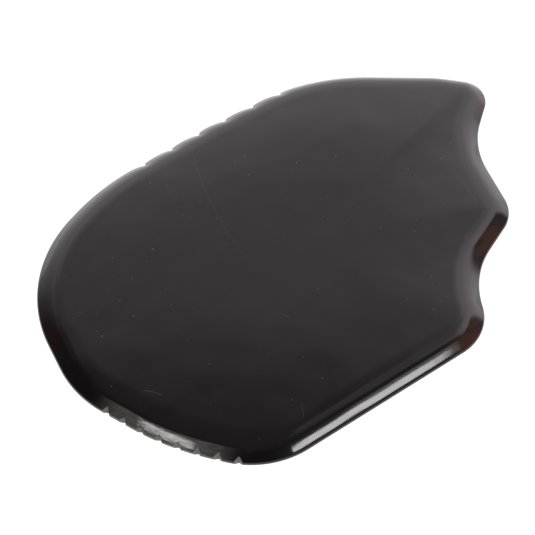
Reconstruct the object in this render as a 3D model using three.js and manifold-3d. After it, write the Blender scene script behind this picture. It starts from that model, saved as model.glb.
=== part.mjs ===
// Gua sha scraper: one solid hand plate of polished dark horn, in millimetres, +Z up.
//
// The plate lies flat. Its long straight edge runs along X, its thickness along Z, and the origin is
// under the middle of its bounding box. It is one piece of material, so it is one solid: a rounded,
// bevelled and slightly crowned slab, with two rows of V notches filed across its edge.

import * as THREE from 'three';
import { mergeVertices } from 'three/addons/utils/BufferGeometryUtils.js';
import Module from 'manifold-3d';

// Driving dimensions.
const NOSE_RADIUS = 0.7;       // half-round that runs along the very edge
const BEVEL_SLOPE = 38;        // degrees between the ground bevel and the flat face
const BEVEL_WIDTH = 1.2;       // width of the ground bevel, measured level
const ROLL_WIDTH = 3.2;        // width of the soft roll from the bevel to the crowned face
const CROWN_SLOPE = 5;         // degrees of slope where the crowned face leaves the roll
const CROWN_RISE = 0.6;        // how far the crown climbs from the roll to the flat middle
const CROWN_REACH = 0.42;      // share of the way to the plate's middle where the flat face begins
const EDGE_POINTS = 160;       // points round the outline

// Corners of the plate seen from above, counter-clockwise, each with the radius that rounds it.
const CORNERS = [
  { name: 'long tip, upper', x: 55.4, y: 14.3, radius: 5.1 },
  { name: 'brow', x: 49.8, y: 20.5, radius: 19.5 },
  { name: 'top shoulder', x: 28.8, y: 36.8, radius: 37.9 },
  { name: 'coarse edge', x: 2.7, y: 37.6, radius: 60 },
  { name: 'back shoulder', x: -24.1, y: 36.7, radius: 48.6 },
  { name: 'round end, upper', x: -49.9, y: 27.1, radius: 31.9 },
  { name: 'round end, lower', x: -55.8, y: -2.5, radius: 23.3 },
  { name: 'fine edge', x: -49.1, y: -21.6, radius: 51.1 },
  { name: 'heel', x: -37.4, y: -37, radius: 17.1 },
  { name: 'short tip', x: 13.4, y: -37.6, radius: 11 },
  { name: 'short scallop', x: 20.1, y: -24.8, radius: 21 },
  { name: 'middle tip', x: 36.9, y: -17.9, radius: 8.7 },
  { name: 'long scallop', x: 42.7, y: 0.6, radius: 21.9 },
  { name: 'long tip, lower', x: 54.4, y: 9.3, radius: 6.5 },
];

// Each row of notches starts at the outline point nearest to (x, y) and runs counter-clockwise. A notch
// is a V of this depth and mouth, and the teeth on both sides of it are eased off by 'shoulder'.
const NOTCH_ROWS = [
  { name: 'coarse', x: 19.7, y: 36.6, pitch: 6.83, count: 6, depth: 1.6, mouth: 2.2, shoulder: 0.4 },
  { name: 'fine', x: -52.8, y: -9.4, pitch: 3.75, count: 8, depth: 0.9, mouth: 1.6, shoulder: 0 },
];

const MIDDLE = new THREE.Vector2(-4, 0);   // point towards which the crowned face closes in
const SEARCH_STEP = 0.1;       // length of edge between the points tried for a row's first notch

/** Outline of the plate as one closed path of arcs and the straight lines between them. */
function roundedOutline(corners) {
  const path = new THREE.Path();
  corners.forEach((corner, i) => {
    const point = new THREE.Vector2(corner.x, corner.y);
    const before = corners.at(i - 1);
    const after = corners[(i + 1) % corners.length];
    const toBefore = new THREE.Vector2(before.x, before.y).sub(point).normalize();
    const toAfter = new THREE.Vector2(after.x, after.y).sub(point).normalize();
    const halfAngle = Math.acos(toBefore.dot(toAfter)) / 2;
    const inward = toBefore.clone().add(toAfter).normalize();
    const centre = point.clone().addScaledVector(inward, corner.radius / Math.sin(halfAngle));
    const start = point.clone().addScaledVector(toBefore, corner.radius / Math.tan(halfAngle)).sub(centre);
    const end = point.clone().addScaledVector(toAfter, corner.radius / Math.tan(halfAngle)).sub(centre);
    const hollow = toBefore.cross(toAfter) > 0;
    path.absarc(centre.x, centre.y, corner.radius, start.angle(), end.angle(), hollow);
  });
  path.closePath();
  return path;
}

/** Outward unit normals of the outline at evenly spaced points. */
function outlineNormals(path, count) {
  return Array.from({ length: count }, (_, i) => {
    const tangent = path.getTangent(i / count);
    return new THREE.Vector2(tangent.y, -tangent.x);
  });
}

/** Stations of the upper half of the edge, from the nose inwards: level inset, crown reach and height. */
function edgeProfile() {
  const bevel = THREE.MathUtils.degToRad(BEVEL_SLOPE);
  const crown = THREE.MathUtils.degToRad(CROWN_SLOPE);
  const noseTurn = Math.PI / 2 - bevel;
  const nose = [0, 1 / 2, 1].map((share) => ({
    inset: NOSE_RADIUS * (1 - Math.cos(noseTurn * share)),
    reach: 0,
    height: NOSE_RADIUS * Math.sin(noseTurn * share),
  }));
  const noseEnd = nose.at(-1);
  const bevelEnd = {
    inset: noseEnd.inset + BEVEL_WIDTH,
    reach: 0,
    height: noseEnd.height + BEVEL_WIDTH * Math.tan(bevel),
  };
  const rollRadius = ROLL_WIDTH / (Math.sin(bevel) - Math.sin(crown));
  const roll = [1 / 3, 2 / 3, 1].map((share) => {
    const slope = bevel + (crown - bevel) * share;
    return {
      inset: bevelEnd.inset + rollRadius * (Math.sin(bevel) - Math.sin(slope)),
      reach: 0,
      height: bevelEnd.height + rollRadius * (Math.cos(slope) - Math.cos(bevel)),
    };
  });
  const rollEnd = roll.at(-1);
  const face = [1 / 2, 1].map((share) => ({
    inset: rollEnd.inset,
    reach: CROWN_REACH * share,
    height: rollEnd.height + CROWN_RISE * (1 - (1 - share) ** 2),
  }));
  return [...nose, bevelEnd, ...roll, ...face];
}

/** One ring of the plate: the outline drawn in by a station's inset and reach, at the given height. */
function ring(outline, normals, station, height) {
  return outline.map((point, i) => {
    const inset = point.clone().addScaledVector(normals[i], -station.inset);
    inset.lerp(MIDDLE, station.reach);
    return new THREE.Vector3(inset.x, inset.y, height);
  });
}

/** Closed surface through a stack of rings, with a flat lid on the first and on the last. */
function loft(rings) {
  const count = rings[0].length;
  const index = [];
  for (let k = 0; k < rings.length - 1; k += 1) {
    for (let i = 0; i < count; i += 1) {
      const a = k * count + i;
      const b = k * count + (i + 1) % count;
      index.push(a, b, b + count);
      index.push(a, b + count, a + count);
    }
  }
  const top = (rings.length - 1) * count;
  for (const [a, b, c] of THREE.ShapeUtils.triangulateShape(rings[0], [])) {
    index.push(a, c, b);
  }
  for (const [a, b, c] of THREE.ShapeUtils.triangulateShape(rings.at(-1), [])) {
    index.push(top + a, top + b, top + c);
  }
  const geometry = new THREE.BufferGeometry().setFromPoints(rings.flat());
  geometry.setIndex(index);
  return geometry;
}

/** The plate before its notches are filed. */
function plateBlank(path) {
  const outline = path.getSpacedPoints(EDGE_POINTS).slice(0, EDGE_POINTS);
  const normals = outlineNormals(path, EDGE_POINTS);
  const upper = edgeProfile();
  const lower = upper.slice(1).reverse();
  const halfThickness = upper.at(-1).height;
  return loft([
    ...lower.map((station) => ring(outline, normals, station, halfThickness - station.height)),
    ...upper.map((station) => ring(outline, normals, station, halfThickness + station.height)),
  ]);
}

/** Length along the outline of the point nearest to (x, y). */
function lengthNearest(path, x, y) {
  const target = new THREE.Vector2(x, y);
  const steps = Math.round(path.getLength() / SEARCH_STEP);
  const distances = path.getSpacedPoints(steps).map((point) => point.distanceTo(target));
  return distances.indexOf(Math.min(...distances)) * (path.getLength() / steps);
}

/** Upright prism that files one notch of a row across the edge at a length along the outline. */
function notchCutter(path, row, length) {
  const share = (length / path.getLength()) % 1;
  const nose = path.getPoint(share);
  const tangent = path.getTangent(share);
  const overhang = 1;
  const wedge = new THREE.Shape([
    new THREE.Vector2(0, row.depth),
    new THREE.Vector2(-row.mouth / 2, row.shoulder),
    new THREE.Vector2(-row.pitch / 2, 0),
    new THREE.Vector2(-row.pitch / 2, -overhang),
    new THREE.Vector2(row.pitch / 2, -overhang),
    new THREE.Vector2(row.pitch / 2, 0),
    new THREE.Vector2(row.mouth / 2, row.shoulder),
  ]);
  const tall = 4 * edgeProfile().at(-1).height;
  const cutter = new THREE.ExtrudeGeometry(wedge, { depth: tall, bevelEnabled: false });
  cutter.translate(0, 0, -tall / 4);
  cutter.rotateZ(tangent.angle());
  cutter.translate(nose.x, nose.y, 0);
  return cutter;
}

/** Solid of a closed three.js geometry. */
function toSolid(wasm, geometry) {
  const bare = geometry.clone();
  bare.deleteAttribute('normal');
  bare.deleteAttribute('uv');
  const merged = mergeVertices(bare, 1e-5);
  return new wasm.Manifold(new wasm.Mesh({
    numProp: 3,
    vertProperties: new Float32Array(merged.attributes.position.array),
    triVerts: new Uint32Array(merged.index.array),
  }));
}

/** Geometry of a solid, with flat normals. */
function toGeometry(solid) {
  const { vertProperties, triVerts } = solid.getMesh();
  const geometry = new THREE.BufferGeometry();
  geometry.setAttribute('position', new THREE.BufferAttribute(vertProperties, 3));
  geometry.setIndex(new THREE.BufferAttribute(triVerts, 1));
  geometry.computeVertexNormals();
  return geometry;
}

const wasm = await Module();
wasm.setup();

const path = roundedOutline(CORNERS);
let plate = toSolid(wasm, plateBlank(path));
for (const row of NOTCH_ROWS) {
  const start = lengthNearest(path, row.x, row.y);
  for (let i = 0; i < row.count; i += 1) {
    plate = plate.subtract(toSolid(wasm, notchCutter(path, row, start + i * row.pitch)));
  }
}

const plateGeometry = toGeometry(plate);
plateGeometry.computeBoundingBox();
const middle = plateGeometry.boundingBox.getCenter(new THREE.Vector3());
plateGeometry.translate(-middle.x, -middle.y, -plateGeometry.boundingBox.min.z);

const hornPlate = new THREE.Mesh(
  plateGeometry,
  new THREE.MeshStandardMaterial({ color: 0x161214, roughness: 0.22, metalness: 0 }),
);
hornPlate.name = 'horn_plate';

const scraper = new THREE.Group();
scraper.name = 'gua_sha_scraper';
scraper.add(hornPlate);

export default scraper;
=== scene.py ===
"""Gua sha scraper: a hand plate of polished dark horn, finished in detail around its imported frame.

Everything in the finished scene is in metres, +Z up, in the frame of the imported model. The plate is
drawn at full size in millimetres first, because its edge is fine work, and is brought to metres at the
end.
"""

import logging
import math
import random
from bisect import bisect_right
from dataclasses import dataclass, field
from enum import Enum
from functools import reduce
from itertools import accumulate
from typing import Callable, Iterable, Optional, Sequence, Union

import bpy
from mathutils import Matrix, Vector
from mathutils.kdtree import KDTree


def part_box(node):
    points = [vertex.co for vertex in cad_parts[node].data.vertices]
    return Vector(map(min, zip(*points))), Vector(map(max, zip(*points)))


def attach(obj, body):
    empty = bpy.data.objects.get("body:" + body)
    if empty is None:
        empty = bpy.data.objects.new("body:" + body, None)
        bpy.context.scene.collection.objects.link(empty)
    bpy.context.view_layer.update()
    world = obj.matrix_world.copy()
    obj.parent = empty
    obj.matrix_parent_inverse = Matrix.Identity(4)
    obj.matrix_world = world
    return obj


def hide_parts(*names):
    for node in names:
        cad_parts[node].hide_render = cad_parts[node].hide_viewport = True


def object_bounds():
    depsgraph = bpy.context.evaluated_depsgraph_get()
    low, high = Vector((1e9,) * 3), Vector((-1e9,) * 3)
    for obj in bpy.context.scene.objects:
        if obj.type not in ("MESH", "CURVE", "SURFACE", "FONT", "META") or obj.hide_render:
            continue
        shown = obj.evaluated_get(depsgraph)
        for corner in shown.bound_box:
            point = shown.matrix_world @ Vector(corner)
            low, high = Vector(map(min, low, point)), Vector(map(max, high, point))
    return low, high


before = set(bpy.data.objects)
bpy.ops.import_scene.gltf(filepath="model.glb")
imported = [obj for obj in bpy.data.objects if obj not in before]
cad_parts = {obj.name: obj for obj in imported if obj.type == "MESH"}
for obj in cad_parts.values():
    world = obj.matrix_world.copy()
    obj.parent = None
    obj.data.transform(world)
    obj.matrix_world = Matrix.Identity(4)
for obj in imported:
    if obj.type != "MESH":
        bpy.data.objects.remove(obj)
cad_low, cad_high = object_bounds()

log = logging.getLogger("gua_sha_scraper")

MM = 0.001
NODE = "horn_plate"
HORN_INDEX = 1.54       # refractive index of horn
Colour = tuple[float, float, float]
Input = Union[float, Sequence[float], "Expr"]


class Axis(Enum):
    """Directions of the frame that are used by name."""

    X = (1.0, 0.0, 0.0)
    Z = (0.0, 0.0, 1.0)


# ---------------------------------------------------------------- shader expressions


class Graph:
    """The node tree of a material or a world, drawn in code."""

    def __init__(self, tree: bpy.types.NodeTree) -> None:
        """Clears the tree.

        Args:
            tree: The node tree to draw in.
        """
        self.tree = tree
        tree.nodes.clear()

    def node(
        self, kind: str, settings: Optional[dict] = None, inputs: Optional[dict] = None
    ) -> bpy.types.Node:
        """Adds one node.

        Args:
            kind: The node's type name.
            settings: Properties of the node.
            inputs: Values or links of its sockets, by name or number.

        Returns:
            The new node.
        """
        node = self.tree.nodes.new(kind)
        for name, value in (settings or {}).items():
            setattr(node, name, value)
        for key, value in (inputs or {}).items():
            if isinstance(value, Expr):
                self.tree.links.new(value.socket, node.inputs[key])
            else:
                node.inputs[key].default_value = value
        return node

    def output(self, node: bpy.types.Node, key: Union[str, int] = 0) -> "Expr":
        """Wraps one output of a node."""
        return Expr(self, node.outputs[key])

    def math(self, operation: str, *operands: Input) -> "Expr":
        """Adds a Math node on numbers and expressions."""
        node = self.node("ShaderNodeMath", {"operation": operation}, dict(enumerate(operands)))
        return self.output(node)

    def attribute(self, name: str) -> "Expr":
        """Reads a number that the mesh carries at each of its points."""
        return self.output(self.node("ShaderNodeAttribute", {"attribute_name": name}), "Fac")

    def place(self) -> "Expr":
        """Reads the point's place on the object, in millimetres."""
        object_place = self.output(self.node("ShaderNodeTexCoord"), "Object")
        return object_place.scaled((1 / MM, 1 / MM, 1 / MM))

    def vector(self, x: Input, y: Input) -> "Expr":
        """Joins two numbers into a level vector."""
        return self.output(self.node("ShaderNodeCombineXYZ", inputs={0: x, 1: y, 2: 0.0}))

    def noise(self, place: "Expr", scale: float, detail: float = 2.0, roughness: float = 0.5) -> "Expr":
        """Cloudy noise between about 0 and 1.

        Args:
            place: Where it is read.
            scale: Waves per unit of place.
            detail: Number of finer layers.
            roughness: Strength of the finer layers.

        Returns:
            The noise as a number.
        """
        node = self.node(
            "ShaderNodeTexNoise",
            {"noise_dimensions": "3D"},
            {"Vector": place, "Scale": scale, "Detail": detail, "Roughness": roughness},
        )
        return self.output(node, "Fac")

    def mix(self, share: Input, first: Input, second: Input) -> "Expr":
        """Mixes two colours.

        Args:
            share: 0 for the first, 1 for the second.
            first: A colour or an expression of one.
            second: A colour or an expression of one.

        Returns:
            The mixed colour.
        """
        colours = [c if isinstance(c, Expr) else (*c, 1.0) for c in (first, second)]
        node = self.node(
            "ShaderNodeMix",
            {"data_type": "RGBA"},
            {"Factor": share, 6: colours[0], 7: colours[1]},
        )
        return self.output(node, 2)

    def bump(self, height: "Expr", distance: float) -> "Expr":
        """Turns a height into a bent normal.

        Args:
            height: The height, where 1 stands for the full distance.
            distance: Height of a step of 1, in metres.

        Returns:
            The normal.
        """
        node = self.node(
            "ShaderNodeBump",
            inputs={"Strength": 1.0, "Distance": distance, "Height": height},
        )
        return self.output(node)


@dataclass(frozen=True)
class Expr:
    """A shader socket that can be used in Python arithmetic."""

    graph: Graph
    socket: bpy.types.NodeSocket

    def __add__(self, other: Input) -> "Expr":
        """This plus the other."""
        return self.graph.math("ADD", self, other)

    def __radd__(self, other: Input) -> "Expr":
        """The other plus this."""
        return self.graph.math("ADD", other, self)

    def __sub__(self, other: Input) -> "Expr":
        """This minus the other."""
        return self.graph.math("SUBTRACT", self, other)

    def __rsub__(self, other: Input) -> "Expr":
        """The other minus this."""
        return self.graph.math("SUBTRACT", other, self)

    def __mul__(self, other: Input) -> "Expr":
        """This times the other."""
        return self.graph.math("MULTIPLY", self, other)

    def __rmul__(self, other: Input) -> "Expr":
        """The other times this."""
        return self.graph.math("MULTIPLY", other, self)

    def __abs__(self) -> "Expr":
        """Size without its sign."""
        return self.graph.math("ABSOLUTE", self)

    def larger(self, other: Input) -> "Expr":
        """The larger of the two."""
        return self.graph.math("MAXIMUM", self, other)

    def ramp(self, start: float, end: float, low: float = 0.0, high: float = 1.0) -> "Expr":
        """Smooth step from low at start to high at end.

        Args:
            start: Where the step begins.
            end: Where it is complete; it may lie below start.
            low: Result before the step.
            high: Result after it.

        Returns:
            The stepped number.
        """
        if end < start:
            start, end, low, high = end, start, high, low
        node = self.graph.node(
            "ShaderNodeMapRange",
            {"interpolation_type": "SMOOTHSTEP"},
            {"Value": self, "From Min": start, "From Max": end, "To Min": low, "To Max": high},
        )
        return self.graph.output(node)

    def scaled(self, factors: Sequence[float]) -> "Expr":
        """A vector with each part multiplied by its own factor."""
        node = self.graph.node("ShaderNodeVectorMath", {"operation": "MULTIPLY"}, {0: self, 1: factors})
        return self.graph.output(node)

    def dot(self, direction: Sequence[float]) -> "Expr":
        """Length of a vector along a direction."""
        node = self.graph.node("ShaderNodeVectorMath", {"operation": "DOT_PRODUCT"}, {0: self, 1: direction})
        return self.graph.output(node, "Value")

    def distance(self, point: Sequence[float]) -> "Expr":
        """Distance of a vector from a point."""
        node = self.graph.node("ShaderNodeVectorMath", {"operation": "DISTANCE"}, {0: self, 1: point})
        return self.graph.output(node, "Value")


def new_material(name: str) -> tuple[bpy.types.Material, Graph]:
    """A new material and its cleared node tree."""
    material = bpy.data.materials.new(name)
    material.use_nodes = True
    return material, Graph(material.node_tree)


# ---------------------------------------------------------------- finishes


@dataclass(frozen=True)
class Scratch:
    """A hair scratch that lies on a circle. Sizes in millimetres.

    Args:
        start: One end of the scratch, seen from above.
        end: The other end.
        bow: How far its middle stands off the straight line, to the left.
        width: Width of the scratch.
        strength: How plainly it shows, from 0 to 1.
    """

    start: tuple[float, float]
    end: tuple[float, float]
    bow: float
    width: float
    strength: float

    def mask(self, flat: Expr) -> Expr:
        """Where the scratch lies.

        Args:
            flat: The point's place with no height, in millimetres.

        Returns:
            A number from 0 to the scratch's strength.
        """
        start, end = Vector(self.start), Vector(self.end)
        chord = end - start
        half = chord.length / 2
        radius = (half * half + self.bow * self.bow) / (2 * abs(self.bow))
        side = Vector((-chord.y, chord.x)).normalized() * math.copysign(1.0, self.bow)
        middle = (start + end) / 2 + side * abs(self.bow)
        centre = middle - side * radius
        on_circle = abs(flat.distance((*centre, 0.0)) - radius).ramp(self.width, 0.0)
        within = flat.distance((*middle, 0.0)).ramp(half, half * 0.75)
        return on_circle * within * self.strength


@dataclass(frozen=True)
class PaintedBacklight:
    """Patch of painted light, where light shining through the thin edge of the horn shows brown. Sizes in
    millimetres.

    Args:
        x: Its middle, along the plate.
        y: Its middle, across the plate.
        reach: Distance at which it has faded out.
        strength: How plainly it shows, from 0 to 1.
    """

    x: float
    y: float
    reach: float
    strength: float

    def mask(self, flat: Expr) -> Expr:
        """Where the patch of painted light lies, from 0 to its strength."""
        return flat.distance((self.x, self.y, 0.0)).ramp(self.reach, self.reach * 0.3, 0.0, self.strength)


@dataclass(frozen=True)
class GroundBand:
    """Stretch of the edge whose bevel was ground by hand and left unpolished. Sizes in millimetres.

    Args:
        first: Where it starts along the outline.
        last: Where it ends.
        fade: Length over which each end fades out.
        inner: Width of the band, from the very edge inwards.
        blur: How far its inner side is softened to each side.
    """

    first: float
    last: float
    fade: float
    inner: float
    blur: float = 0.08

    def mask(self, along: Expr, inset: Expr) -> Expr:
        """Where the band lies, from 0 to 1."""
        ends = along.ramp(self.first - self.fade, self.first) * along.ramp(self.last + self.fade, self.last)
        return ends * inset.ramp(self.inner + self.blur, self.inner - self.blur)


@dataclass(frozen=True)
class PolishedHorn:
    """Near-black horn with a hand polish, pale specks and hair scratches, and painted light that shows brown
    through it where it is thin.

    Args:
        name: Name of the material.
        black: Colour of the darker grain.
        smoky: Colour of the paler grain.
        brown: Colour of the painted light that shines through the horn where it is thin.
        speck: Colour of specks and scratches.
        ground: Colour where the bevel was left unpolished.
        face_roughness: Roughness of the face.
        edge_roughness: Roughness of the bevel, which is polished brighter.
        smear: How much the roughness varies over the face.
        mark_roughness: How much rougher a speck or a scratch is.
        relief: Height of a bump of 1, in millimetres.
        waviness: Bump of the long waves that polishing leaves.
        ripple: Bump of the finest ripple.
        streak: Bump and roughness of the streaks on the unpolished bevel.
        speck_cells: Places for a speck per millimetre.
        speck_radius: Radius of the largest speck, in millimetres times speck_cells.
        speck_strength: How plainly the specks show.
        scratch_strength: How plainly the scratches show.
        scratches: The hair scratches.
        painted_backlight_patches: Patches of painted light, shining brown through the thin horn.
        band: The unpolished stretch of bevel, if there is one.
    """

    name: str = "polished_horn"
    black: Colour = (0.0100, 0.0072, 0.0080)
    smoky: Colour = (0.0155, 0.0115, 0.0122)
    brown: Colour = (0.060, 0.021, 0.010)
    speck: Colour = (0.30, 0.26, 0.25)
    ground: Colour = (0.205, 0.195, 0.190)
    face_roughness: float = 0.17
    edge_roughness: float = 0.075
    smear: float = 0.07
    mark_roughness: float = 0.3
    relief: float = 0.15
    waviness: float = 0.6
    ripple: float = 0.004
    streak: float = 0.06
    speck_cells: float = 0.42
    speck_radius: float = 0.075
    speck_strength: float = 0.4
    scratch_strength: float = 0.3
    scratches: tuple[Scratch, ...] = (
        Scratch((-3.9, 34.1), (-13.7, 0.5), -1.7, 0.10, 0.4),
        Scratch((-46.2, -11.0), (-43.9, -14.3), 0.2, 0.11, 0.9),
        Scratch((-46.0, 10.9), (-45.0, 10.2), 0.05, 0.10, 0.8),
        Scratch((-16.2, -12.6), (-15.4, -14.4), 0.1, 0.10, 0.8),
        Scratch((33.0, -3.5), (31.0, -13.7), 0.3, 0.10, 0.4),
        Scratch((-25.2, -29.8), (-27.0, -32.9), 0.1, 0.10, 0.6),
    )
    # Patches of painted light: light shining brown through the thin horn near the tips.
    painted_backlight_patches: tuple[PaintedBacklight, ...] = (
        PaintedBacklight(27.0, -21.8, 8.0, 1.0),
        PaintedBacklight(10.0, -37.0, 7.5, 1.0),
        PaintedBacklight(52.5, 6.5, 5.0, 0.5),
        PaintedBacklight(-54.0, 12.0, 9.0, 0.25),
    )
    band: Optional[GroundBand] = None

    def make(self) -> bpy.types.Material:
        """Draws the material and returns it."""
        material, graph = new_material(self.name)
        place = graph.place()
        inset = graph.attribute("inset")
        flat = place.scaled((1.0, 1.0, 0.0))

        grain = graph.noise(place.scaled((0.05, 0.55, 0.55)), 1.0, 4.0, 0.6)
        cloud = graph.noise(place, 0.09, 3.0, 0.5)
        colour = graph.mix((grain * 0.7 + cloud * 0.3).ramp(0.35, 0.7), self.black, self.smoky)
        # Painted light: the brown of light shining through the thin horn near its tips is painted into the
        # colour.
        thin = inset.ramp(4.4, 0.8) * graph.noise(place.scaled((0.25, 0.5, 0.3)), 1.0, 3.0).ramp(0.32, 0.6)
        painted_backlight_patches = self.strongest(painted_backlight_patch.mask(flat) for painted_backlight_patch in self.painted_backlight_patches)
        colour = graph.mix(thin * painted_backlight_patches, colour, self.brown)

        specks = self.specks(graph, place)
        scratches = self.strongest(scratch.mask(flat) for scratch in self.scratches)
        marks = specks.larger(scratches * self.scratch_strength)
        colour = graph.mix(marks, colour, self.speck)

        smears = graph.noise(place.scaled((0.5, 0.16, 0.3)), 1.0, 5.0, 0.65)
        roughness = inset.ramp(5.0, 1.8, self.face_roughness, self.edge_roughness)
        roughness = roughness + (smears - 0.5) * self.smear + marks * self.mark_roughness
        waves = graph.noise(flat, 0.085, 1.0)
        height = waves * self.waviness + graph.noise(place, 1.6, 2.0) * self.ripple
        if self.band is not None:
            along = graph.attribute("along")
            band = self.band.mask(along, inset)
            streaks = graph.noise(graph.vector(along * 0.5, inset * 6.0), 1.0, 4.0, 0.7)
            colour = graph.mix(band * streaks.ramp(0.3, 0.7, 0.35, 1.0), colour, self.ground)
            roughness = roughness + band * (streaks - 0.5) * self.streak
            height = height + band * streaks * self.streak
        normal = graph.bump(height, self.relief * MM)

        shader = graph.node(
            "ShaderNodeBsdfPrincipled",
            inputs={"Base Color": colour, "Roughness": roughness, "IOR": HORN_INDEX, "Normal": normal},
        )
        graph.node("ShaderNodeOutputMaterial", inputs={"Surface": graph.output(shader)})
        return material

    @staticmethod
    def strongest(masks: Iterable[Expr]) -> Expr:
        """The largest of several masks at each point."""
        return reduce(lambda first, second: first.larger(second), masks)

    def specks(self, graph: Graph, place: Expr) -> Expr:
        """Scattered pinpoint specks, from 0 to their strength.

        Args:
            graph: The material's tree.
            place: The point's place in millimetres.

        Returns:
            The mask of the specks.
        """
        cells = graph.node(
            "ShaderNodeTexVoronoi",
            {"voronoi_dimensions": "2D", "feature": "F1"},
            {"Vector": place, "Scale": self.speck_cells, "Randomness": 1.0},
        )
        chosen = graph.output(cells, "Color").dot(Axis.X.value)
        crowding = graph.noise(place, 0.06, 1.0).ramp(0.35, 0.65, 0.3, 1.0)
        size = chosen.ramp(0.80, 1.0, 0.0, self.speck_radius) * crowding
        return graph.math("LESS_THAN", graph.output(cells, "Distance"), size) * self.speck_strength


@dataclass(frozen=True)
class FiledHorn:
    """Horn as a file leaves it: grey, matte and scored along the file's stroke."""

    name: str = "filed_horn"
    pale: Colour = (0.30, 0.275, 0.265)
    dark: Colour = (0.09, 0.080, 0.076)
    roughness: float = 0.5
    relief: float = 0.06

    def make(self) -> bpy.types.Material:
        """Draws the material and returns it."""
        material, graph = new_material(self.name)
        place = graph.place()
        strokes = graph.noise(place.scaled((5.0, 5.0, 0.7)), 1.0, 3.0, 0.7)
        crumbs = graph.noise(place, 4.0, 2.0, 0.6)
        tone = (strokes * 0.6 + crumbs * 0.4).ramp(0.36, 0.62)
        shader = graph.node(
            "ShaderNodeBsdfPrincipled",
            inputs={
                "Base Color": graph.mix(tone, self.dark, self.pale),
                "Roughness": tone * 0.2 + self.roughness,
                "IOR": HORN_INDEX,
                "Normal": graph.bump(strokes + crumbs * 0.5, self.relief * MM),
            },
        )
        graph.node("ShaderNodeOutputMaterial", inputs={"Surface": graph.output(shader)})
        return material


@dataclass(frozen=True)
class WhiteSweep:
    """Seamless white ground. It glows by itself, so that hardly any shadow shows on it."""

    name: str = "white_sweep"
    glow: float = 1.10
    darkest: float = 0.14
    palest: float = 0.16

    def make(self) -> bpy.types.Material:
        """Draws the material and returns it."""
        material, graph = new_material(self.name)
        place = graph.place()
        tone = graph.noise(place, 0.02, 2.0).ramp(0.2, 0.8, self.darkest, self.palest)
        shader = graph.node(
            "ShaderNodeBsdfPrincipled",
            inputs={
                "Base Color": graph.mix(tone, (0.0, 0.0, 0.0), (1.0, 1.0, 1.0)),
                "Roughness": 0.9,
                "Emission Color": (1.0, 1.0, 1.0, 1.0),
                "Emission Strength": self.glow,
            },
        )
        graph.node("ShaderNodeOutputMaterial", inputs={"Surface": graph.output(shader)})
        return material


# ---------------------------------------------------------------- the plate


@dataclass(frozen=True)
class Corner:
    """Corner of the outline before it is rounded. Sizes in millimetres.

    Args:
        name: What the corner is on the plate.
        x: Its place along the plate.
        y: Its place across the plate.
        radius: Radius that rounds it.
    """

    name: str
    x: float
    y: float
    radius: float

    @property
    def point(self) -> Vector:
        """The corner's place seen from above."""
        return Vector((self.x, self.y))


@dataclass(frozen=True)
class Arc:
    """Rounding of one corner: its centre, its ends and the angle it turns, which is negative in a hollow."""

    centre: Vector
    start: Vector
    end: Vector
    radius: float
    turn: float

    @classmethod
    def of(cls, before: Corner, corner: Corner, after: Corner) -> "Arc":
        """The arc that touches both sides of a corner.

        Args:
            before: The corner before it.
            corner: The corner to round.
            after: The corner after it.

        Returns:
            The arc.
        """
        to_before = (before.point - corner.point).normalized()
        to_after = (after.point - corner.point).normalized()
        half_angle = to_before.angle(to_after) / 2
        inward = (to_before + to_after).normalized()
        reach = corner.radius / math.tan(half_angle)
        hollow = to_before.x * to_after.y - to_before.y * to_after.x > 0
        return cls(
            centre=corner.point + inward * corner.radius / math.sin(half_angle),
            start=corner.point + to_before * reach,
            end=corner.point + to_after * reach,
            radius=corner.radius,
            turn=(math.pi - 2 * half_angle) * (-1 if hollow else 1),
        )


@dataclass(frozen=True)
class NotchRow:
    """Row of V notches across the edge. Sizes in millimetres.

    Args:
        name: What the row is.
        x: The first notch is at the outline point nearest to (x, y).
        y: See x.
        pitch: Distance along the outline from one notch to the next, counter-clockwise.
        count: Number of notches.
        depth: Depth of the V, seen from above.
        mouth: Width of the V at the very edge.
        easing: How far the edge is drawn in at each notch, so that the teeth between them are rounded.
    """

    name: str
    x: float
    y: float
    pitch: float
    count: int
    depth: float
    mouth: float
    easing: float


def select_vertices(piece: bpy.types.Object, chosen: Callable[[Vector], bool]) -> None:
    """Selects the vertices whose place is chosen, and no others.

    Args:
        piece: A mesh in edit mode.
        chosen: Says of a place whether a vertex there is selected.
    """
    bpy.ops.mesh.select_all(action="DESELECT")
    bpy.ops.object.mode_set(mode="OBJECT")
    for vertex in piece.data.vertices:
        vertex.select = chosen(vertex.co)
    bpy.ops.object.mode_set(mode="EDIT")


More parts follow.
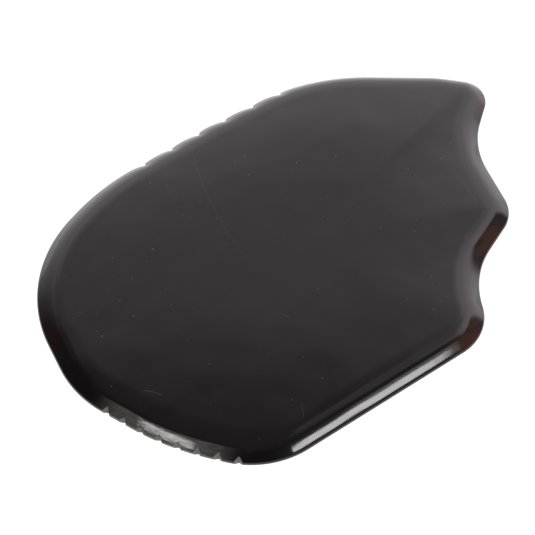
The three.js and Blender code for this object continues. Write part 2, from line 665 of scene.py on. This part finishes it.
@dataclass
class HornPlate:
    """The whole scraper: one solid plate with a rounded, bevelled edge. Sizes in millimetres.

    Args:
        nose_radius: Half-round that runs along the very edge.
        bevel_slope: Angle between the bevel and the flat face.
        bevel_width: Width of the bevel, measured level.
        bevel_curve: How much the slope changes across the bevel, which makes it slightly convex.
        roll_width: Width of the soft roll from the bevel to the face.
        crown_slope: Slope of the face where it leaves the roll.
        crown_rise: How far the crown climbs from the roll to the flat middle.
        crown_reach: Share of the way to the plate's middle where the flat face begins.
        crown_steps: Rings from the roll to the flat face.
        flat_steps: Rings on the flat face, so that polishing works evenly.
        polish_strokes: How often the crown is smoothed.
        middle: Point towards which the face closes in.
        edge_step: Length of one edge of the outline, about.
        crease: Faces that meet at more than this angle keep a sharp edge.
        band_start: From the first fine notch to the unpolished stretch of bevel, along the outline.
        band_end: From the first fine notch to the end of that stretch.
        band_fade: Length over which each end of it fades out.
        corners: Corners of the outline, counter-clockwise.
        coarse: The row of coarse notches.
        fine: The row of fine notches.
        outline: Points of the finished outline, filled in by draw_outline.
        lengths: Length along the outline up to each point, and its whole length last.
    """

    nose_radius: float = 0.7
    bevel_slope: float = math.radians(38)
    bevel_width: float = 1.2
    bevel_curve: float = math.radians(2)
    roll_width: float = 3.2
    crown_slope: float = math.radians(5)
    crown_rise: float = 0.6
    crown_reach: float = 0.42
    crown_steps: int = 14
    flat_steps: int = 9
    polish_strokes: int = 400
    middle: tuple[float, float] = (-4.0, 0.0)
    edge_step: float = 0.5
    crease: float = math.radians(30)
    band_start: float = 3.5
    band_end: float = 20.0
    band_fade: float = 7.0
    corners: tuple[Corner, ...] = (
        Corner("long tip, upper", 55.4, 14.3, 5.1),
        Corner("brow", 49.8, 20.5, 19.5),
        Corner("top shoulder", 28.8, 36.8, 37.9),
        Corner("coarse edge", 2.7, 37.6, 60.0),
        Corner("back shoulder", -24.1, 36.7, 48.6),
        Corner("round end, upper", -49.9, 27.1, 31.9),
        Corner("round end, lower", -55.8, -2.5, 23.3),
        Corner("fine edge", -49.1, -21.6, 51.1),
        Corner("heel", -37.4, -37.0, 17.1),
        Corner("short tip", 13.4, -37.6, 11.0),
        Corner("short scallop", 20.1, -24.8, 21.0),
        Corner("middle tip", 36.9, -17.9, 8.7),
        Corner("long scallop", 42.7, 0.6, 21.9),
        Corner("long tip, lower", 54.4, 9.3, 6.5),
    )
    coarse: NotchRow = NotchRow("coarse", 19.7, 36.6, 6.83, 6, 1.6, 2.2, 0.4)
    fine: NotchRow = NotchRow("fine", -52.8, -9.4, 3.75, 8, 0.9, 1.6, 0.0)
    outline: list[Vector] = field(default_factory=list)
    lengths: list[float] = field(default_factory=list)

    def build(self) -> bpy.types.Object:
        """Models the plate.

        Returns:
            The finished mesh, in metres, in its place in the frame.
        """
        piece = self.draw_outline()
        self.raise_upper_half()
        self.polish_crown(piece)
        self.ease_teeth(piece, self.coarse)
        bpy.ops.object.mode_set(mode="OBJECT")
        self.mirror(piece)
        piece.data.materials.append(PolishedHorn(band=self.ground_band()).make())
        self.file_notches(piece, FiledHorn().make())
        self.note_edge_places(piece)
        self.settle(piece)
        return piece

    # ------------------------------------------------------------ outline and edge

    def arcs(self) -> list[Arc]:
        """The arcs that round the corners, counter-clockwise."""
        around = self.corners
        return [Arc.of(around[i - 1], c, around[(i + 1) % len(around)]) for i, c in enumerate(around)]

    def draw_outline(self) -> bpy.types.Object:
        """Draws the outline: extruded along its straight runs and spun round its corners.

        Returns:
            An object in edit mode, with one selected face that fills the outline.
        """
        arcs = self.arcs()
        bpy.ops.object.select_all(action="DESELECT")
        bpy.ops.mesh.primitive_circle_add(vertices=3, radius=0.1, location=(0.0, 0.0, 0.0))
        piece = bpy.context.object
        piece.name = NODE + "_surface"
        bpy.ops.object.mode_set(mode="EDIT")
        bpy.ops.mesh.select_all(action="SELECT")
        bpy.ops.mesh.merge(type="CENTER")
        bpy.ops.transform.translate(value=(*arcs[0].start, 0.0))
        for arc, following in zip(arcs, arcs[1:] + arcs[:1]):
            bpy.ops.mesh.spin(
                steps=max(2, round(abs(arc.turn) * arc.radius / self.edge_step)),
                angle=-arc.turn,
                center=(*arc.centre, 0.0),
                axis=Axis.Z.value,
            )
            run = following.start - arc.end
            steps = max(1, round(run.length / self.edge_step))
            for _ in range(steps):
                bpy.ops.mesh.extrude_region_move(TRANSFORM_OT_translate={"value": (*(run / steps), 0.0)})
        bpy.ops.mesh.select_all(action="SELECT")
        bpy.ops.mesh.remove_doubles(threshold=self.edge_step / 4)
        bpy.ops.mesh.edge_face_add()
        piece.update_from_editmode()
        if piece.data.polygons[0].normal.z < 0:
            bpy.ops.mesh.flip_normals()
            piece.update_from_editmode()
        loop = piece.data.polygons[0].vertices
        self.outline = [piece.data.vertices[i].co.copy() for i in loop]
        sides = [(b - a).length for a, b in zip(self.outline, self.outline[1:] + self.outline[:1])]
        self.lengths = [0.0, *accumulate(sides)]
        return piece

    def raise_upper_half(self) -> None:
        """Raises the upper half of the plate from the outline: nose, bevel, roll and crown."""
        before = (0.0, 0.0)
        for station in self.edge_stations():
            inset, height = station[0] - before[0], station[1] - before[1]
            bpy.ops.mesh.inset(thickness=inset, depth=height, use_even_offset=True)
            before = station
        share_before, height = 0.0, before[1]
        for share in (k / self.crown_steps for k in range(1, self.crown_steps + self.flat_steps + 1)):
            rise = self.crown_rise * (max(0.0, 1 - share_before) ** 2 - max(0.0, 1 - share) ** 2)
            height += rise
            factor = (1 - self.crown_reach * share) / (1 - self.crown_reach * share_before)
            bpy.ops.mesh.extrude_region_move(TRANSFORM_OT_translate={"value": (0.0, 0.0, rise)})
            bpy.ops.transform.resize(value=(factor, factor, 1.0), center_override=(*self.middle, height))
            share_before = share

    def polish_crown(self, piece: bpy.types.Object) -> None:
        """Blends the crown's ridges and hollows, as polishing by hand does.

        Args:
            piece: The upper half, in edit mode.
        """
        roll_rings_polished = 3
        _, lowest = self.edge_stations()[-1 - roll_rings_polished]
        select_vertices(piece, lambda place: place.z > lowest)
        bpy.ops.mesh.vertices_smooth(factor=0.5, repeat=self.polish_strokes, xaxis=False, yaxis=False)

    def edge_stations(self) -> list[tuple[float, float]]:
        """Points of the upper edge from the nose inwards, each an inset and a height."""
        slope, crown = self.bevel_slope, self.crown_slope
        nose_turn = math.pi / 2 - slope
        nose_steps, bevel_steps, roll_steps = 7, 6, 12
        stations = []
        for k in range(1, nose_steps + 1):
            angle = nose_turn * k / nose_steps
            stations.append((self.nose_radius * (1 - math.cos(angle)), self.nose_radius * math.sin(angle)))
        inset, height = stations[-1]
        for k in range(1, bevel_steps + 1):
            out = self.bevel_width / bevel_steps
            inset += out
            height += out * math.tan(slope + self.bevel_curve * (0.5 - k / bevel_steps))
            stations.append((inset, height))
        slope -= self.bevel_curve / 2
        roll_radius = self.roll_width / (math.sin(slope) - math.sin(crown))
        for k in range(1, roll_steps + 1):
            angle = slope + (crown - slope) * k / roll_steps
            stations.append((
                inset + roll_radius * (math.sin(slope) - math.sin(angle)),
                height + roll_radius * (math.cos(angle) - math.cos(slope)),
            ))
        return stations

    # ------------------------------------------------------------ notches

    def start_of(self, row: NotchRow) -> float:
        """Length along the outline of the point nearest to a row's start."""
        target = Vector((row.x, row.y, 0.0))
        nearest = min(range(len(self.outline)), key=lambda i: (self.outline[i] - target).length)
        return self.lengths[nearest]

    def notch_places(self, row: NotchRow) -> Iterable[tuple[Vector, Vector]]:
        """Places of a row's notches on the outline.

        Args:
            row: The row.

        Yields:
            A point of the outline and the inward direction there.
        """
        start = self.start_of(row)
        for k in range(row.count):
            yield self.outline_at((start + k * row.pitch) % self.lengths[-1])

    def outline_at(self, length: float) -> tuple[Vector, Vector]:
        """Point of the outline at a length along it.

        Args:
            length: The length from the outline's first point.

        Returns:
            The point and the inward direction there.
        """
        i = bisect_right(self.lengths, length) - 1
        here, there = self.outline[i], self.outline[(i + 1) % len(self.outline)]
        tangent = (there - here).normalized()
        return here + tangent * (length - self.lengths[i]), Vector(Axis.Z.value).cross(tangent)

    def ease_teeth(self, piece: bpy.types.Object, row: NotchRow) -> None:
        """Draws the edge in at each notch of a row, so that the teeth between them are rounded.

        Args:
            piece: The upper half, in edit mode.
            row: The row whose teeth are eased.
        """
        strip, reach = 0.3, 1.8
        for notch, inward in self.notch_places(row):
            along = inward.cross(Axis.Z.value)

            def at_notch(place: Vector) -> bool:
                """Says whether a place lies close to this notch."""
                offset = place - notch
                return abs(offset.dot(along)) < strip and abs(offset.dot(inward)) < reach

            select_vertices(piece, at_notch)
            bpy.ops.transform.translate(
                value=inward * row.easing,
                use_proportional_edit=True,
                proportional_edit_falloff="SHARP",
                proportional_size=row.pitch / 2,
            )

    def mirror(self, piece: bpy.types.Object) -> None:
        """Adds the lower half, the mirror image of the upper.

        Args:
            piece: The upper half.
        """
        modifier = piece.modifiers.new("other half", "MIRROR")
        modifier.use_axis = (False, False, True)
        modifier.merge_threshold = 1e-4
        bpy.ops.object.modifier_apply(modifier=modifier.name)

    def cutter(self, row: NotchRow) -> bpy.types.Object:
        """Models the file that cuts a row's notches: a V with a slightly blunt tip.

        Args:
            row: The row.

        Returns:
            The cutter, with the very edge at its origin and the plate towards +Y.
        """
        overhang, tall, blunt = 1.0, 20.0, 0.16
        deep = row.depth + overhang
        half_width = row.mouth / 2 * deep / row.depth
        radius = deep / 1.5
        bpy.ops.object.select_all(action="DESELECT")
        bpy.ops.mesh.primitive_cylinder_add(vertices=3, radius=radius, depth=tall)
        cutter = bpy.context.object
        bpy.ops.object.mode_set(mode="EDIT")
        bpy.ops.transform.resize(value=(half_width / (radius * math.sin(math.pi / 3)), 1.0, 1.0))
        bpy.ops.transform.translate(value=(0.0, row.depth - radius, 0.0))
        bpy.ops.object.mode_set(mode="OBJECT")
        for edge in cutter.data.edges:
            edge.select = all(cutter.data.vertices[i].co.y > 0 for i in edge.vertices)
        bpy.ops.object.mode_set(mode="EDIT")
        bpy.context.tool_settings.mesh_select_mode = (False, True, False)
        bpy.ops.mesh.bevel(offset=blunt, segments=4)
        bpy.context.tool_settings.mesh_select_mode = (True, False, False)
        bpy.ops.object.mode_set(mode="OBJECT")
        return cutter

    def file_notches(self, piece: bpy.types.Object, filed: bpy.types.Material) -> None:
        """Files the notches across the edge, each a little out of true as handwork is.

        Args:
            piece: The whole plate.
            filed: Finish of the notch walls.
        """
        draws = random.Random(7)
        lean, shift = math.radians(4), 0.08
        cutters = []
        for row in (self.coarse, self.fine):
            pattern = self.cutter(row)
            pattern.data.materials.append(filed)
            for place, inward in self.notch_places(row):
                cutter = pattern.copy()
                cutter.data = pattern.data.copy()
                cutter.location = place + inward * draws.uniform(-shift, shift)
                turn = math.atan2(inward.y, inward.x) - math.pi / 2
                cutter.rotation_euler = (draws.uniform(-lean, lean), 0.0, turn + draws.uniform(-lean, lean))
                bpy.context.collection.objects.link(cutter)
                cutters.append(cutter)
            bpy.data.objects.remove(pattern)
        bpy.ops.object.select_all(action="DESELECT")
        for cutter in cutters:
            cutter.select_set(True)
        bpy.context.view_layer.objects.active = cutters[0]
        bpy.ops.object.join()
        cutter = bpy.context.object

        bpy.context.view_layer.objects.active = piece
        modifier = piece.modifiers.new("notches", "BOOLEAN")
        modifier.operation = "DIFFERENCE"
        modifier.solver = "EXACT"
        modifier.material_mode = "TRANSFER"
        modifier.object = cutter
        bpy.ops.object.modifier_apply(modifier=modifier.name)
        bpy.data.objects.remove(cutter)

    # ------------------------------------------------------------ finishing

    def note_edge_places(self, piece: bpy.types.Object) -> None:
        """Notes on each point how far it lies from the edge and where along the outline, in millimetres.

        Args:
            piece: The whole plate.
        """
        step = 0.1
        count = int(self.lengths[-1] / step)
        tree = KDTree(count)
        for i in range(count):
            tree.insert(self.outline_at(i * step)[0], i)
        tree.balance()
        inset = piece.data.attributes.new("inset", "FLOAT", "POINT")
        along = piece.data.attributes.new("along", "FLOAT", "POINT")
        for vertex in piece.data.vertices:
            _, i, away = tree.find((vertex.co.x, vertex.co.y, 0.0))
            inset.data[vertex.index].value = away
            along.data[vertex.index].value = i * step

    def settle(self, piece: bpy.types.Object) -> None:
        """Brings the plate to metres and into its place in the frame.

        Args:
            piece: The finished plate in millimetres.
        """
        low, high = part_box(NODE)
        own = [[f(v.co[axis] for v in piece.data.vertices) for axis in range(3)] for f in (min, max)]
        scale = Vector((high[i] - low[i]) / (own[1][i] - own[0][i]) for i in range(3))
        piece.scale = scale
        piece.location = Vector(low[i] - own[0][i] * scale[i] for i in range(3))
        bpy.ops.object.select_all(action="DESELECT")
        piece.select_set(True)
        bpy.context.view_layer.objects.active = piece
        bpy.ops.object.transform_apply(location=True, rotation=True, scale=True)
        bpy.ops.object.shade_smooth_by_angle(angle=self.crease)

    def ground_band(self) -> GroundBand:
        """The stretch of bevel round the fine notches, which was ground and left unpolished."""
        first = self.start_of(self.fine)
        width = self.nose_radius + self.bevel_width
        return GroundBand(first + self.band_start, first + self.band_end, self.band_fade, width)


# ---------------------------------------------------------------- studio


@dataclass(frozen=True)
class Softbox:
    """Strip softbox. Its two ends lie in these directions from the plate: right, away from the camera, up.

    Args:
        name: What the softbox is.
        start: Direction of one end.
        end: Direction of the other end.
        height: Its width across, as an angle.
        radiance: Brightness of its face, where 1 is paper white.
    """

    name: str
    start: tuple[float, float, float]
    end: tuple[float, float, float]
    height: float
    radiance: float


@dataclass(frozen=True)
class Fade:
    """Smooth change of a light level along a direction.

    Args:
        start: Where the change begins.
        end: Where it is complete.
        low: Level before it.
        high: Level after it.
    """

    start: float
    end: float
    low: float = 0.0
    high: float = 1.0

    def of(self, value: Expr) -> Expr:
        """The level where the direction's part is this value."""
        return value.ramp(self.start, self.end, self.low, self.high)


@dataclass
class Studio:
    """White ground, graded surroundings, three strip softboxes and the camera. Sizes in metres.

    Args:
        azimuth: Turn of the camera's side about the vertical.
        elevation: How far the camera looks down.
        distance: From the camera to its target.
        target: Point that the camera and the softboxes look at.
        lens: Focal length, in millimetres.
        sensor: Width of the sensor, in millimetres.
        clip: Nearest and farthest distance that the camera sees.
        ground_size: Side of the ground.
        ground_gap: Gap between the ground and the plate.
        light_distance: From the target to each softbox.
        tint: Colour of the surroundings.
        left_end: How the bright sweep behind the plate ends on the left.
        right_end: How it ends on the right.
        right_lean: How far its right end leans outwards, higher up.
        slant_start: Where its steps begin to slant down towards the right.
        slant: How steeply they slant.
        upper_step: First step of its brightness, from the top.
        lower_step: Second step of its brightness.
        overhead: Fill light, stronger overhead.
        side: Fill light on the right.
        side_top: How the fill light on the right ends higher up.
        softboxes: The strip softboxes.
    """

    azimuth: float = math.radians(-37)
    elevation: float = math.radians(50)
    distance: float = 0.3162
    target: tuple[float, float, float] = (-0.00987, 0.00033, 0.00326)
    lens: float = 111.35
    sensor: float = 36.0
    clip: tuple[float, float] = (0.01, 20.0)
    ground_size: float = 6.0
    ground_gap: float = 0.0001
    light_distance: float = 6.0
    tint: Colour = (1.0, 0.925, 0.970)
    left_end: Fade = Fade(-0.20, 0.68)
    right_end: Fade = Fade(-0.06, 0.10)
    right_lean: Fade = Fade(0.56, 0.70, 0.0, 0.36)
    slant_start: float = 0.05
    slant: float = 0.35
    upper_step: Fade = Fade(0.852, 0.785, 0.0, 0.66)
    lower_step: Fade = Fade(0.715, 0.625, 0.0, 0.80)
    overhead: Fade = Fade(0.68, 0.92, 0.05, 0.165)
    side: Fade = Fade(0.2, 0.7)
    side_top: Fade = Fade(0.85, 0.6, 0.0, 0.22)
    softboxes: tuple[Softbox, ...] = (
        Softbox("right", (0.546, -0.535, 0.645), (0.762, -0.284, 0.581), math.radians(3.2), 10.5),
        Softbox("right spill", (0.684, -0.297, 0.658), (0.738, -0.238, 0.628), math.radians(6), 1.2),
        Softbox("left", (-0.655, -0.390, 0.648), (-0.450, -0.595, 0.666), math.radians(1.5), 28.0),
    )

    def direction(self, right: float, away: float, up: float) -> Vector:
        """Turns a direction seen from the camera's side into the frame.

        Args:
            right: Its part towards the camera's right.
            away: Its level part away from the camera.
            up: Its part upwards.

        Returns:
            The unit vector in the frame.
        """
        cos, sin = math.cos(self.azimuth), math.sin(self.azimuth)
        return Vector((right * cos - away * sin, right * sin + away * cos, up)).normalized()

    def build(self) -> None:
        """Builds the whole studio."""
        self.add_ground()
        self.add_surroundings()
        for softbox in self.softboxes:
            self.add_softbox(softbox)
        self.add_camera()
        bpy.context.scene.view_settings.view_transform = "Standard"

    def add_ground(self) -> None:
        """Adds the white ground that the plate lies on."""
        bpy.ops.object.select_all(action="DESELECT")
        below = cad_low.z - self.ground_gap
        bpy.ops.mesh.primitive_plane_add(size=self.ground_size, location=(0.0, 0.0, below))
        ground = bpy.context.object
        ground.name = "ground"
        ground.data.materials.append(WhiteSweep().make())
        log.info("ground: added")

    def add_surroundings(self) -> None:
        """Adds the surroundings: bright low down behind the plate, dim overhead and on the camera's side."""
        world = bpy.data.worlds.new("studio")
        world.use_nodes = True
        bpy.context.scene.world = world
        graph = Graph(world.node_tree)
        direction = graph.output(graph.node("ShaderNodeTexCoord"), "Generated")
        right = direction.dot(self.direction(1.0, 0.0, 0.0))
        up = direction.dot(Axis.Z.value)
        left_side = self.left_end.of(direction.dot(self.direction(0.5, 0.866, 0.0)))
        rightwards = direction.dot(self.direction(-0.47, 0.883, 0.0)) + self.right_lean.of(up)
        level = up - (right - self.slant_start).larger(0.0) * self.slant
        steps = self.upper_step.of(level) + self.lower_step.of(level)
        sweep = left_side * self.right_end.of(rightwards) * steps
        fill = self.overhead.of(up) + self.side.of(right) * self.side_top.of(up)
        shader = graph.node(
            "ShaderNodeBackground",
            inputs={"Color": (*self.tint, 1.0), "Strength": fill + sweep},
        )
        graph.node("ShaderNodeOutputWorld", inputs={"Surface": graph.output(shader)})

    def add_softbox(self, softbox: Softbox) -> None:
        """Adds one softbox as an area light.

        Args:
            softbox: The softbox.
        """
        start, end = self.direction(*softbox.start), self.direction(*softbox.end)
        outward = (start + end).normalized()
        across = (end - start).normalized()
        upward = outward.cross(across)
        light = bpy.data.lights.new(softbox.name + "_softbox", "AREA")
        light.shape = "RECTANGLE"
        light.size = (end - start).length * self.light_distance
        light.size_y = 2 * math.tan(softbox.height / 2) * self.light_distance
        light.energy = softbox.radiance * math.pi * light.size * light.size_y
        lamp = bpy.data.objects.new(light.name, light)
        turn = Matrix((across, upward, outward)).transposed().to_4x4()
        lamp.matrix_world = Matrix.Translation(Vector(self.target) + outward * self.light_distance) @ turn
        bpy.context.collection.objects.link(lamp)
        log.info("%s softbox: added", softbox.name)

    def add_camera(self) -> None:
        """Adds the camera."""
        camera = bpy.data.objects.new("camera", bpy.data.cameras.new("camera"))
        back = self.direction(0.0, -math.cos(self.elevation), math.sin(self.elevation))
        camera.location = Vector(self.target) + back * self.distance
        camera.rotation_mode = "QUATERNION"
        camera.rotation_quaternion = (-back).to_track_quat("-Z", "Y")
        camera.data.sensor_width = self.sensor
        camera.data.lens = self.lens
        camera.data.clip_start, camera.data.clip_end = self.clip
        bpy.context.collection.objects.link(camera)
        bpy.context.scene.camera = camera


def main() -> None:
    """Builds the plate and the studio, and reports each piece."""
    logging.basicConfig(level=logging.INFO, format="%(name)s: %(message)s")
    piece = HornPlate().build()
    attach(piece, "root")
    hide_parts(NODE)
    log.info("%s: %d faces", piece.name, len(piece.data.polygons))
    Studio().build()


if __name__ == "__main__":
    main()
